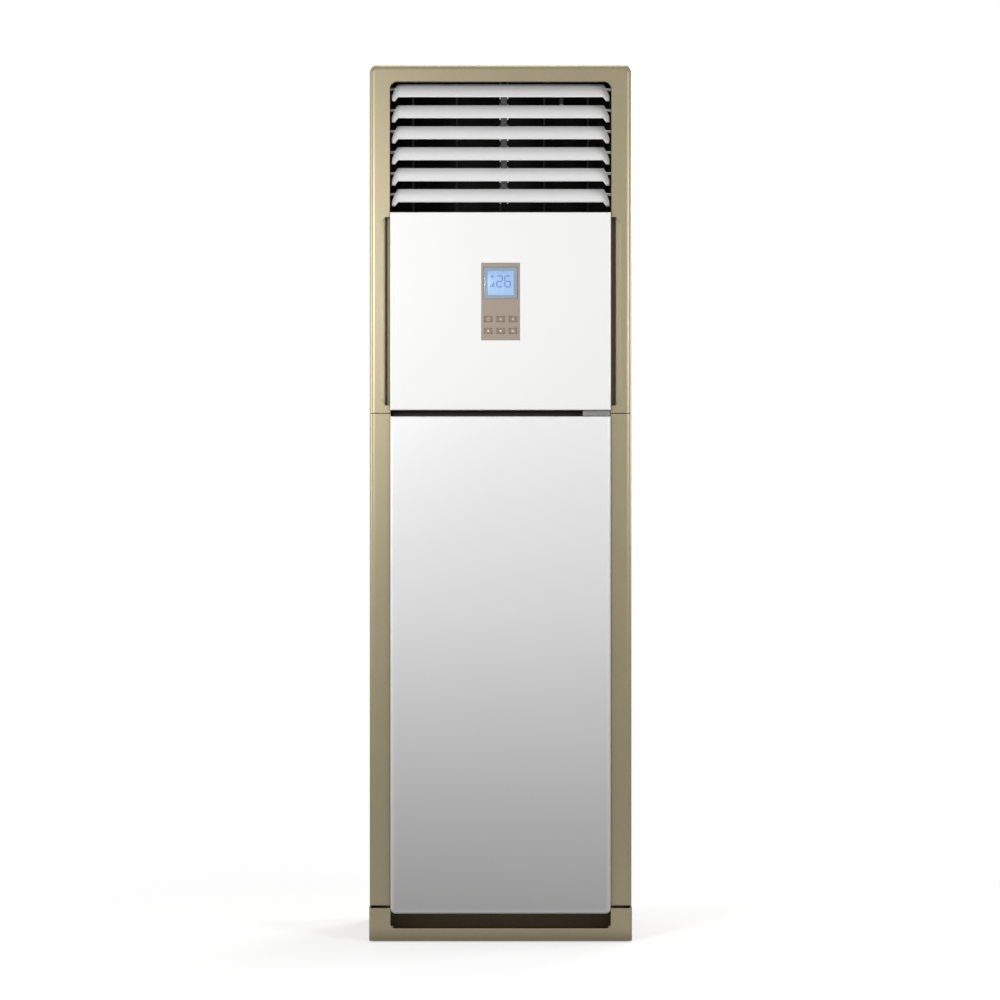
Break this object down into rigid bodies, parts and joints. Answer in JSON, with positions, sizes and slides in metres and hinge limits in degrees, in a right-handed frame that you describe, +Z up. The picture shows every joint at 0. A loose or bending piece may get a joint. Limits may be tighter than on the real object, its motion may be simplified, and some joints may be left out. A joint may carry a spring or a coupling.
{
  "type": "floor standing air conditioner",
  "caption": "Tall floor standing room air conditioner with louvred outlet, control panel, tilting intake door with filter, blower, coil and plinth.",
  "frame": {"origin": "on the floor, under the middle of the plinth's footprint", "axes": "+Z up, the front faces -Y, +X to the viewer's right"},
  "size_m": [0.51, 0.315, 1.7],
  "materials": {
    "gold_moulding": "satin metallic paint on moulded plastic",
    "white_moulding": "gloss white moulding",
    "silver_panel": "satin silver metallic paint",
    "louvre_silver": "satin silver paint",
    "bezel_tan": "satin metallic paint",
    "key_tan": "satin metallic paint",
    "display_glass": "clear window",
    "circuit_board": "green lacquer",
    "black_plastic": "matt black",
    "grey_plastic": "satin light grey",
    "dark_plastic": "satin dark grey",
    "cabinet_paint": "powder coat",
    "zinc_sheet": "galvanised",
    "black_rubber": "matt",
    "filter_plastic": "satin",
    "filter_net": "moulded net",
    "fin_aluminium": "mill finish",
    "copper": "bright tube",
    "pan_enamel": "dark brown enamel",
    "motor_enamel": "black enamel",
    "screw_steel": "zinc plated"
  },
  "bodies": {
    "cabinet": {"back_panel": "cabinet_paint", "base_pan": "pan_enamel", "casing_screws": "screw_steel", "coil_end_plates": "zinc_sheet", "coil_fins": "fin_aluminium", "coil_tubes": "copper", "control_bezel": "bezel_tan", "control_panel": "white_moulding", "deck_plate": "zinc_sheet", "display_board": "circuit_board", "drain_hose": "black_rubber", "drain_pan": "grey_plastic", "electrical_box": "grey_plastic", "electrical_box_cover": "grey_plastic", "fan_guard": "dark_plastic", "fan_motor": "motor_enamel", "lcd_lens": "display_glass", "left_side_panel": "cabinet_paint", "levelling_feet": "black_rubber", "main_board": "circuit_board", "motor_bracket": "zinc_sheet", "outlet_duct": "black_plastic", "panel_catch": "grey_plastic", "pipe_grommet": "black_rubber", "plinth": "gold_moulding", "power_gland": "dark_plastic", "refrigerant_pipes": "copper", "right_side_panel": "cabinet_paint", "scroll_front": "zinc_sheet", "scroll_rear": "dark_plastic", "swing_motor": "dark_plastic", "terminal_block": "dark_plastic", "top_cover": "gold_moulding", "upper_frame": "gold_moulding"},
    "lower_door": {"lower_frame": "gold_moulding", "lower_panel": "silver_panel", "door_seal": "black_rubber", "filter_frame": "filter_plastic", "filter_mesh": "filter_net"},
    "fan": {"fan_wheel": "dark_plastic", "fan_shaft": "screw_steel"},
    "louvre_1": {"horizontal_louvre_1": "louvre_silver"},
    "louvre_2": {"horizontal_louvre_2": "louvre_silver"},
    "louvre_3": {"horizontal_louvre_3": "louvre_silver"},
    "louvre_4": {"horizontal_louvre_4": "louvre_silver"},
    "louvre_5": {"horizontal_louvre_5": "louvre_silver"},
    "louvre_6": {"horizontal_louvre_6": "louvre_silver"},
    "louvre_link": {"louvre_link_bar": "dark_plastic"},
    "vane_1": {"vertical_vane_1": "black_plastic"},
    "vane_2": {"vertical_vane_2": "black_plastic"},
    "vane_3": {"vertical_vane_3": "black_plastic"},
    "vane_4": {"vertical_vane_4": "black_plastic"},
    "vane_5": {"vertical_vane_5": "black_plastic"},
    "vane_link": {"swing_link_bar": "black_plastic"},
    "key_1": {"button_1": "key_tan"},
    "key_2": {"button_2": "key_tan"},
    "key_3": {"button_3": "key_tan"},
    "key_4": {"button_4": "key_tan"},
    "key_5": {"button_5": "key_tan"},
    "key_6": {"button_6": "key_tan"}
  },
  "joints": [
    {"name": "louvre_tilt_1", "type": "hinge", "parent": "cabinet", "child": "louvre_1", "pos_m": [0, -0.124, 1.65536], "axis": [1, 0, 0], "range_deg": [-35, 30]},
    {"name": "louvre_tilt_2", "type": "hinge", "parent": "cabinet", "child": "louvre_2", "pos_m": [0, -0.124, 1.61448], "axis": [1, 0, 0], "range_deg": [-35, 30]},
    {"name": "louvre_tilt_3", "type": "hinge", "parent": "cabinet", "child": "louvre_3", "pos_m": [0, -0.124, 1.57359], "axis": [1, 0, 0], "range_deg": [-35, 30]},
    {"name": "louvre_tilt_4", "type": "hinge", "parent": "cabinet", "child": "louvre_4", "pos_m": [0, -0.124, 1.53271], "axis": [1, 0, 0], "range_deg": [-35, 30]},
    {"name": "louvre_tilt_5", "type": "hinge", "parent": "cabinet", "child": "louvre_5", "pos_m": [0, -0.124, 1.49182], "axis": [1, 0, 0], "range_deg": [-35, 30]},
    {"name": "louvre_tilt_6", "type": "hinge", "parent": "cabinet", "child": "louvre_6", "pos_m": [0, -0.124, 1.45094], "axis": [1, 0, 0], "range_deg": [-35, 30]},
    {"name": "louvre_link_swing", "type": "hinge", "parent": "louvre_1", "child": "louvre_link", "pos_m": [0.0066, -0.09759, 1.66097], "axis": [1, 0, 0], "range_deg": [-30, 35]},
    {"name": "vane_swing_1", "type": "hinge", "parent": "cabinet", "child": "vane_1", "pos_m": [-0.172, -0.06, 1.54], "axis": [0, 0, 1], "range_deg": [-35, 35]},
    {"name": "vane_swing_2", "type": "hinge", "parent": "cabinet", "child": "vane_2", "pos_m": [-0.086, -0.06, 1.54], "axis": [0, 0, 1], "range_deg": [-35, 35]},
    {"name": "vane_swing_3", "type": "hinge", "parent": "cabinet", "child": "vane_3", "pos_m": [0, -0.06, 1.54], "axis": [0, 0, 1], "range_deg": [-35, 35]},
    {"name": "vane_swing_4", "type": "hinge", "parent": "cabinet", "child": "vane_4", "pos_m": [0.086, -0.06, 1.54], "axis": [0, 0, 1], "range_deg": [-35, 35]},
    {"name": "vane_swing_5", "type": "hinge", "parent": "cabinet", "child": "vane_5", "pos_m": [0.172, -0.06, 1.54], "axis": [0, 0, 1], "range_deg": [-35, 35]},
    {"name": "vane_link_swing", "type": "hinge", "parent": "vane_3", "child": "vane_link", "pos_m": [0, -0.038, 1.421], "axis": [0, 0, 1], "range_deg": [-35, 35]},
    {"name": "fan_spin", "type": "hinge", "parent": "cabinet", "child": "fan", "pos_m": [0, 0.008, 0.365], "axis": [0, 1, 0], "continuous": true},
    {"name": "door_tilt", "type": "hinge", "parent": "cabinet", "child": "lower_door", "pos_m": [0, -0.14, 0.076], "axis": [1, 0, 0], "range_deg": [0, 20]},
    {"name": "key_press_1", "type": "slide", "parent": "cabinet", "child": "key_1", "axis": [0, 1, 0], "range_m": [0, 0.0008], "stiffness_N_per_m": 800, "springref_m": -0.0004},
    {"name": "key_press_2", "type": "slide", "parent": "cabinet", "child": "key_2", "axis": [0, 1, 0], "range_m": [0, 0.0008], "stiffness_N_per_m": 800, "springref_m": -0.0004},
    {"name": "key_press_3", "type": "slide", "parent": "cabinet", "child": "key_3", "axis": [0, 1, 0], "range_m": [0, 0.0008], "stiffness_N_per_m": 800, "springref_m": -0.0004},
    {"name": "key_press_4", "type": "slide", "parent": "cabinet", "child": "key_4", "axis": [0, 1, 0], "range_m": [0, 0.0008], "stiffness_N_per_m": 800, "springref_m": -0.0004},
    {"name": "key_press_5", "type": "slide", "parent": "cabinet", "child": "key_5", "axis": [0, 1, 0], "range_m": [0, 0.0008], "stiffness_N_per_m": 800, "springref_m": -0.0004},
    {"name": "key_press_6", "type": "slide", "parent": "cabinet", "child": "key_6", "axis": [0, 1, 0], "range_m": [0, 0.0008], "stiffness_N_per_m": 800, "springref_m": -0.0004}
  ],
  "couplings": [
    {"joint": "louvre_tilt_2", "follows": "louvre_tilt_1", "ratio": 1},
    {"joint": "louvre_tilt_3", "follows": "louvre_tilt_1", "ratio": 1},
    {"joint": "louvre_tilt_4", "follows": "louvre_tilt_1", "ratio": 1},
    {"joint": "louvre_tilt_5", "follows": "louvre_tilt_1", "ratio": 1},
    {"joint": "louvre_tilt_6", "follows": "louvre_tilt_1", "ratio": 1},
    {"joint": "louvre_link_swing", "follows": "louvre_tilt_1", "ratio": -1},
    {"joint": "vane_swing_1", "follows": "vane_swing_3", "ratio": 1},
    {"joint": "vane_swing_2", "follows": "vane_swing_3", "ratio": 1},
    {"joint": "vane_swing_4", "follows": "vane_swing_3", "ratio": 1},
    {"joint": "vane_swing_5", "follows": "vane_swing_3", "ratio": 1},
    {"joint": "vane_link_swing", "follows": "vane_swing_3", "ratio": -1}
  ]
}
